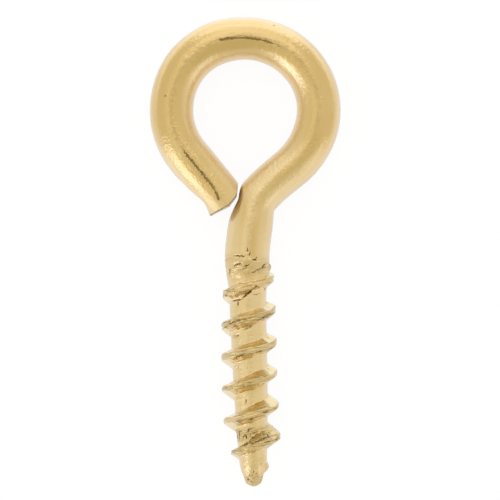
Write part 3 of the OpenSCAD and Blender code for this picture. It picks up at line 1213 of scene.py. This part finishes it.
def floor_material(looks):
    """White paper that the camera and the metal see as lit, and that keeps a soft shadow."""
    material, board = new_material("white_paper")
    paths = board.outputs("ShaderNodeLightPath")
    camera, glossy = paths["Is Camera Ray"], paths["Is Glossy Ray"]
    place = board.node("ShaderNodeTexCoord", out="Object")
    fibre = board.noise(place, 900, 2).ramp(0.2, 0.8)
    colour = board.mix(fibre, tuple(looks.floor), (0.96, 0.96, 0.96))

    def blend(factor, a, b):
        """Two shaders mixed."""
        return board.node("ShaderNodeMixShader", None, {0: factor, 1: a, 2: b})

    def lit(colour, strength):
        """The paper's own even light."""
        sockets = {"Color": (*colour, 1), "Strength": strength}
        return board.node("ShaderNodeEmission", None, sockets)

    matt = board.node("ShaderNodeBsdfDiffuse", None, {"Color": colour})
    sheen = {"Color": (1, 1, 1, 1), "Roughness": 0.15}
    sheen = board.node("ShaderNodeBsdfAnisotropic", None, sheen)
    ahead = board.outputs("ShaderNodeSeparateXYZ", None, {0: place})["Y"].ramp(*FAR_PAPER)
    mirrored = blend(ahead, lit((0.98, 1.0, 1.10), 1.0), lit((0.98, 1.0, 1.12), 1.34))
    own = blend(glossy, lit((1.0, 1.0, 1.0), 1.04), mirrored)
    share = camera * 0.87 + glossy * 0.74 + paths["Is Transmission Ray"] * 0.8
    paper = blend(share, blend(glossy * 0.8, matt, sheen), own)
    board.output("ShaderNodeOutputMaterial", "Surface", paper)
    return material


def tent(looks):
    """The white tent: an even sky, a little darker towards -Y overhead and brighter towards
    +Y, with the small dark opening that the tent is looked into through."""
    world = bpy.data.worlds.new("white_tent")
    bpy.context.scene.world = world
    world.use_nodes = True
    board = Board(world.node_tree)
    away = board.node("ShaderNodeTexCoord", out="Generated")

    def vector(operation, sockets, out):
        """A Vector Math node."""
        return board.node("ShaderNodeVectorMath", {"operation": operation}, sockets, out)

    def towards(direction):
        """Cosine between the looked-in direction and this one."""
        unit = tuple(Vector(direction).normalized())
        return vector("DOT_PRODUCT", {0: away, 1: unit}, "Value")

    dim = towards((0.0, -0.64, 0.77)).ramp(0.74, 0.87)
    glow = towards((0.0, 0.60, 0.80)).ramp(0.88, 0.965)
    split = board.outputs("ShaderNodeSeparateXYZ", None, {0: away})
    right, ahead, up = split["X"], split["Y"], split["Z"].ramp(0.0, 0.3)
    # the opening is an ellipse, a little towards +Y from straight overhead
    wide = ((right - 0.005) / 0.055) ** 2.0 + ((ahead - 0.172) / 0.078) ** 2.0
    hole = wide.ramp(1.3, 0.8) * up
    # a brighter strip of the tent runs along its -X side
    strip = (right + 0.39).sum("ABSOLUTE").ramp(0.12, 0.03)
    strip = strip * (ahead + 0.15).sum("ABSOLUTE").ramp(0.5, 0.3)
    strength = looks.sky + glow * 0.36 - dim * 0.13 + strip * up * 0.22
    strength = strength * (1 - hole * 0.95)
    tint = board.mix(glow * 0.6 + 0.4 - dim * 0.4, (1.0, 0.97, 0.80), (1.0, 1.0, 1.06))
    light = vector("SCALE", {0: tint, "Scale": strength}, "Vector")
    # the camera sees plain white
    camera = board.outputs("ShaderNodeLightPath")["Is Camera Ray"]
    light = board.mix(camera, light, (1.0, 1.0, 1.0))
    sky = board.node("ShaderNodeBackground", None, {"Color": light, "Strength": 1.0})
    board.output("ShaderNodeOutputWorld", "Surface", sky)


def softbox(name, azimuth, elevation, size, radiance):
    """A flat rectangular lamp that faces the part."""
    lamp = bpy.data.lights.new(name, "AREA")
    lamp.shape = "RECTANGLE"
    lamp.size, lamp.size_y = size
    lamp.energy = radiance * np.pi * size[0] * size[1]
    lamp.color = LAMP_COLOUR
    stand = bpy.data.objects.new(name, lamp)
    bpy.context.collection.objects.link(stand)
    a, e = np.radians(azimuth), np.radians(elevation)
    out = Vector((np.cos(a) * np.cos(e), np.sin(a) * np.cos(e), np.sin(e)))
    stand.location = out * LAMP_DISTANCE
    stand.rotation_euler = out.to_track_quat("Z", "Y").to_euler()
    stand.visible_camera = False


# ---------------------------------------------------------------- operators


class BuildScrewEye(bpy.types.Operator):
    """Builds the brass screw eye in place of its plain solid"""

    bl_idname = "screw_eye.build"
    bl_label = "Build screw eye"

    def execute(self, context):
        scene = context.scene
        mesh = screw_eye_mesh(scene.wire_sizes, scene.thread_sizes)
        piece = bpy.data.objects.new("wire_eye_and_thread", mesh)
        context.collection.objects.link(piece)
        mesh.materials.append(brass_material(scene.brass_looks))
        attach(piece, "root")
        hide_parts(NODE)
        return {"FINISHED"}


class BuildStudio(bpy.types.Operator):
    """Lays the floor and sets up the tent, the lamps and the camera"""

    bl_idname = "screw_eye.studio"
    bl_label = "Build studio"

    def execute(self, context):
        scene = context.scene
        looks = scene.studio_looks
        scene.view_settings.view_transform = "Standard"
        mesh = bpy.data.meshes.new("floor")
        half = 1.5
        corners = [(-half, -half, 0), (half, -half, 0), (half, half, 0), (-half, half, 0)]
        mesh.from_pydata(corners, [], [(0, 1, 2, 3)])
        mesh.materials.append(floor_material(looks))
        floor = bpy.data.objects.new("floor", mesh)
        scene.collection.objects.link(floor)
        tent(looks)
        for name, places in SOFTBOXES.items():
            softbox(name, *places)
        self.aim_camera(scene, looks)
        return {"FINISHED"}

    def aim_camera(self, scene, looks):
        """A long lens straight above the middle of the part."""
        camera = bpy.data.cameras.new("camera")
        camera.lens = looks.lens
        camera.sensor_width = 36.0
        camera.clip_start = 0.01
        stand = bpy.data.objects.new("camera", camera)
        scene.collection.objects.link(stand)
        height = looks.view_width * camera.lens / camera.sensor_width
        stand.location = (0.03 * MM, 0.07 * MM, height + 2 * MM)
        stand.rotation_euler = (0, 0, looks.roll)
        scene.camera = stand


class ScrewEyePanel(bpy.types.Panel):
    """Sizes and looks of the screw eye"""

    bl_idname = "VIEW3D_PT_screw_eye"
    bl_label = "Screw eye"
    bl_space_type = "VIEW_3D"
    bl_region_type = "UI"
    bl_category = "Screw Eye"

    def draw(self, context):
        for group in GROUPS:
            box = self.layout.box()
            box.label(text=group.__doc__)
            for name in group.__annotations__:
                box.prop(getattr(context.scene, GROUPS[group]), name)
        self.layout.operator(BuildScrewEye.bl_idname)
        self.layout.operator(BuildStudio.bl_idname)


GROUPS = {
    WireSizes: "wire_sizes",
    ThreadSizes: "thread_sizes",
    BrassLooks: "brass_looks",
    StudioLooks: "studio_looks",
}
CLASSES = (*GROUPS, BuildScrewEye, BuildStudio, ScrewEyePanel)


def register():
    """Adds the classes, and their sizes and looks to the scene."""
    for cls in CLASSES:
        bpy.utils.register_class(cls)
    for group, name in GROUPS.items():
        setattr(bpy.types.Scene, name, bpy.props.PointerProperty(type=group))


def unregister():
    """Takes them away again."""
    for name in GROUPS.values():
        delattr(bpy.types.Scene, name)
    for cls in reversed(CLASSES):
        bpy.utils.unregister_class(cls)


def main():
    """Builds the studio and the screw eye."""
    register()
    bpy.ops.screw_eye.studio()
    bpy.ops.screw_eye.build()


if __name__ == "__main__":
    main()
